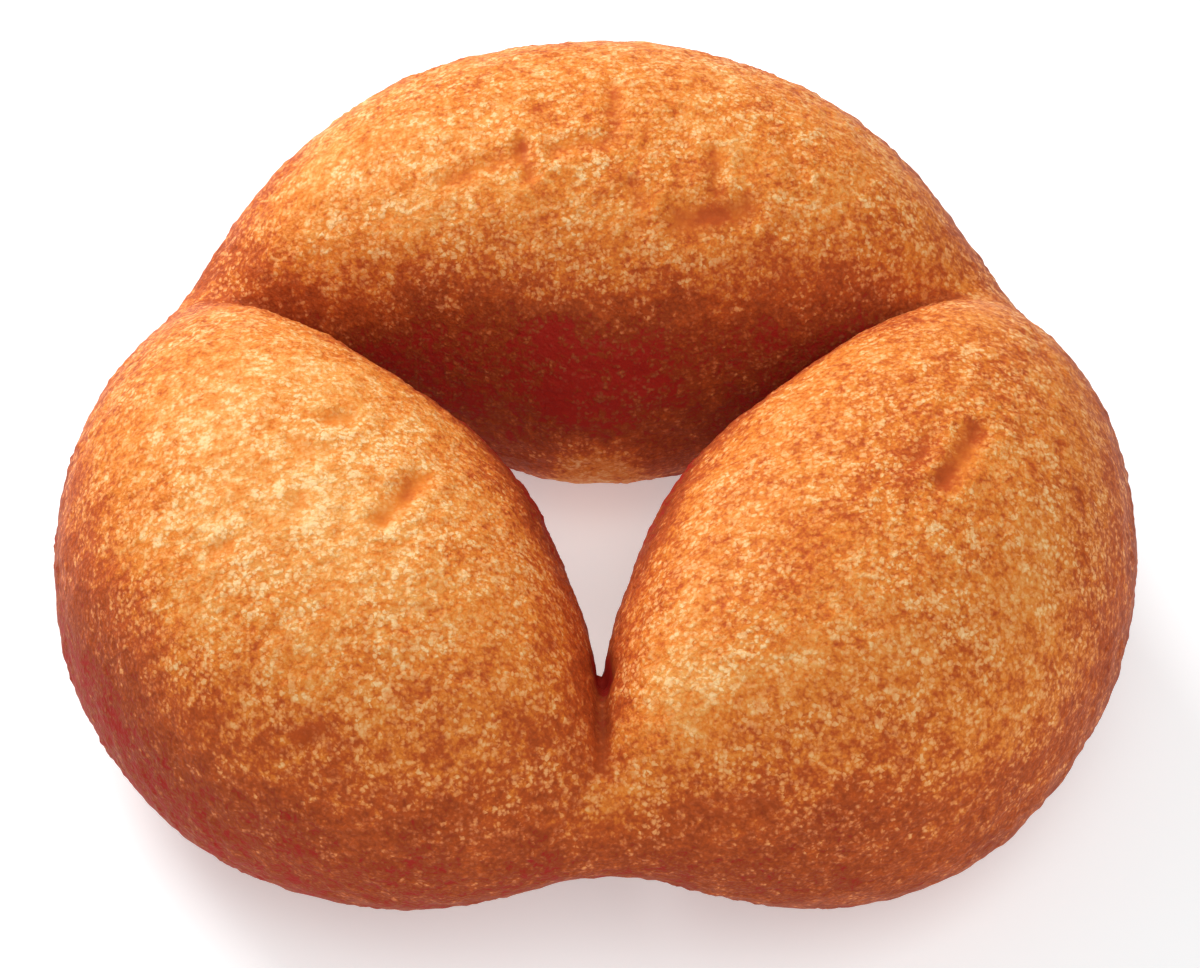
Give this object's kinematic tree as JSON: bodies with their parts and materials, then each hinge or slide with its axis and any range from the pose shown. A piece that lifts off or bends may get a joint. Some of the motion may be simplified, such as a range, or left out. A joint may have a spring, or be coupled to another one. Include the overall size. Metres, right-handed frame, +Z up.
{
  "type": "sweet potato doughnut",
  "caption": "Fried ring doughnut of plump, evenly sized lobes, pinched together at narrow necks round a star-shaped hole.",
  "frame": {"origin": "on the table, below the middle of the ring's bounding box", "axes": "+Z up out of the table, along the axis of the hole; +Y towards the lobe that is furthest back in the picture; +X along the longest side"},
  "size_m": [0.0878, 0.0844, 0.0335],
  "materials": {
    "fried_crust": "golden fried crust, dull with a little oil"
  },
  "bodies": {
    "root": {"doughnut": "fried_crust"}
  },
  "joints": []
}
